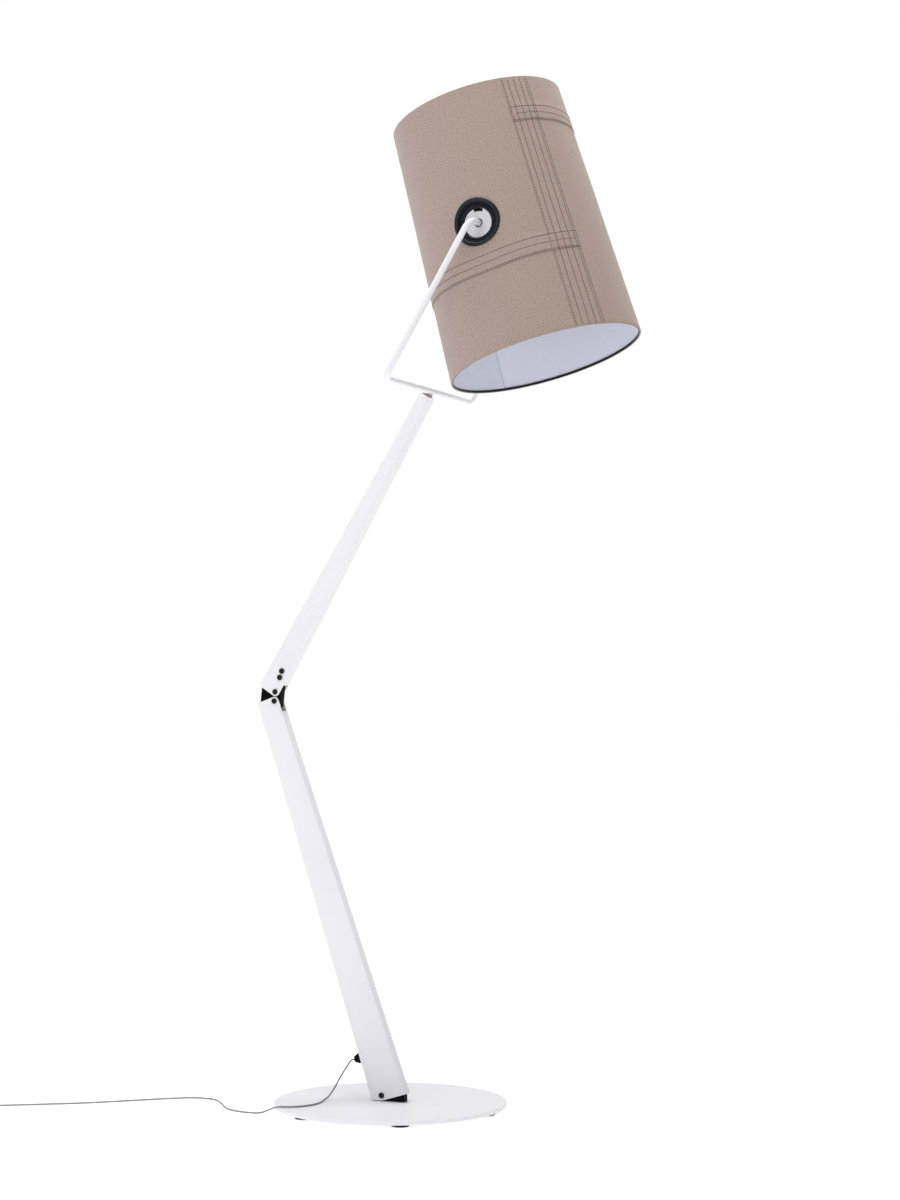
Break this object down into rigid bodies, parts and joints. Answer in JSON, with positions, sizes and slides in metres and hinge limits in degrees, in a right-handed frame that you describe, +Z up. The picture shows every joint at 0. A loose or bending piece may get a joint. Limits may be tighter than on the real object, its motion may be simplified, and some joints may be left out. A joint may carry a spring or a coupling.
{
  "type": "floor lamp",
  "caption": "Adjustable arm floor lamp with a round base, tapered hinged arms, a bent rod fork and a tilting conical fabric shade.",
  "frame": {"origin": "centre of the round base, on the floor", "axes": "+Z up, +X the way the upper arm and the shade lean, Y along every pivot"},
  "size_m": [1.2218, 0.5152, 1.6618],
  "materials": {
    "white_paint": "matt white powder coat",
    "rubber": "moulded black rubber",
    "black_plastic": "moulded black nylon",
    "black_steel": "blackened steel",
    "zinc_steel": "zinc plated",
    "cord_sheath": "smooth grey cable sheath",
    "red_fibre": "red-brown fibre washer",
    "canvas": "beige cotton canvas with dark top stitching",
    "white_lining": "stiff white shade lining",
    "white_plastic": "satin white moulding",
    "opal_bulb": "opal lamp envelope",
    "grey_plastic": "grey moulded plug and switch"
  },
  "bodies": {
    "base": {"base_disc": "white_paint", "rubber_foot_1": "rubber", "rubber_foot_2": "rubber", "rubber_foot_3": "rubber", "rubber_foot_4": "rubber", "rubber_foot_5": "rubber", "rubber_foot_6": "rubber", "centre_pad": "rubber", "hinge_bracket": "black_plastic", "bracket_screw_1": "zinc_steel", "bracket_screw_2": "zinc_steel", "cord": "cord_sheath", "cord_tail": "cord_sheath", "cord_coil": "cord_sheath", "plug_body": "grey_plastic", "plug_pin_1": "zinc_steel", "plug_pin_2": "zinc_steel", "switch_base": "grey_plastic", "switch_cover": "grey_plastic"},
    "switch_button": {"switch_button": "black_plastic"},
    "lower_arm": {"lower_arm_shell": "white_paint", "base_pivot_bolt": "black_steel", "base_pivot_nut": "black_steel", "base_pivot_washer_near": "black_plastic", "base_pivot_washer_far": "black_plastic", "knee_lower_bolt": "black_steel", "knee_lower_nut": "black_steel", "knee_lower_washer_near": "black_plastic", "knee_lower_washer_far": "black_plastic", "cord_gland": "black_plastic", "lead_lower": "cord_sheath"},
    "knee_link": {"knee_link": "black_plastic", "lead_knee": "cord_sheath"},
    "upper_arm": {"upper_arm_shell": "white_paint", "knee_upper_bolt": "black_steel", "knee_upper_nut": "black_steel", "knee_upper_washer_near": "black_plastic", "knee_upper_washer_far": "black_plastic", "friction_block": "black_plastic", "friction_screw_1": "black_steel", "friction_screw_2": "black_steel", "lead_upper": "cord_sheath", "swivel_socket": "black_plastic"},
    "fork": {"fork": "white_paint", "swivel_washer": "red_fibre", "retaining_ring": "zinc_steel"},
    "shade": {"shade_fabric": "canvas", "shade_lining": "white_lining", "bottom_ring": "black_steel", "top_ring": "black_steel", "grommet_near": "rubber", "grommet_far": "rubber", "hub_near": "white_plastic", "hub_far": "white_plastic", "shade_bridge": "white_paint", "lamp_holder": "black_plastic", "bulb_cap": "zinc_steel", "bulb_glass": "opal_bulb"}
  },
  "joints": [
    {"name": "base_tilt", "type": "hinge", "parent": "base", "child": "lower_arm", "pos_m": [-0.0113, 0, 0.0206], "axis": [0, 1, 0], "range_deg": [0, 17.2]},
    {"name": "knee_lower", "type": "hinge", "parent": "lower_arm", "child": "knee_link", "pos_m": [-0.21016, 0, 0.66302], "axis": [0, 1, 0], "range_deg": [-23.3, 26.7]},
    {"name": "knee_upper", "type": "hinge", "parent": "knee_link", "child": "upper_arm", "pos_m": [-0.20853, 0, 0.67834], "axis": [0, 1, 0], "range_deg": [-23.3, 26.7]},
    {"name": "fork_swivel", "type": "hinge", "parent": "upper_arm", "child": "fork", "pos_m": [0.06932, 0, 1.17145], "axis": [0.5173, 0, 0.8558], "range_deg": [-170, 170]},
    {"name": "shade_tilt", "type": "hinge", "parent": "fork", "child": "shade", "pos_m": [0.21499, 0, 1.41244], "axis": [0, 1, 0], "range_deg": [-82, 178]},
    {"name": "switch_press", "type": "slide", "parent": "base", "child": "switch_button", "axis": [0, 0, -1], "range_m": [0, 0.0015], "stiffness_N_per_m": 600}
  ],
  "couplings": [
    {"joint": "knee_upper", "follows": "knee_lower", "ratio": 1}
  ]
}
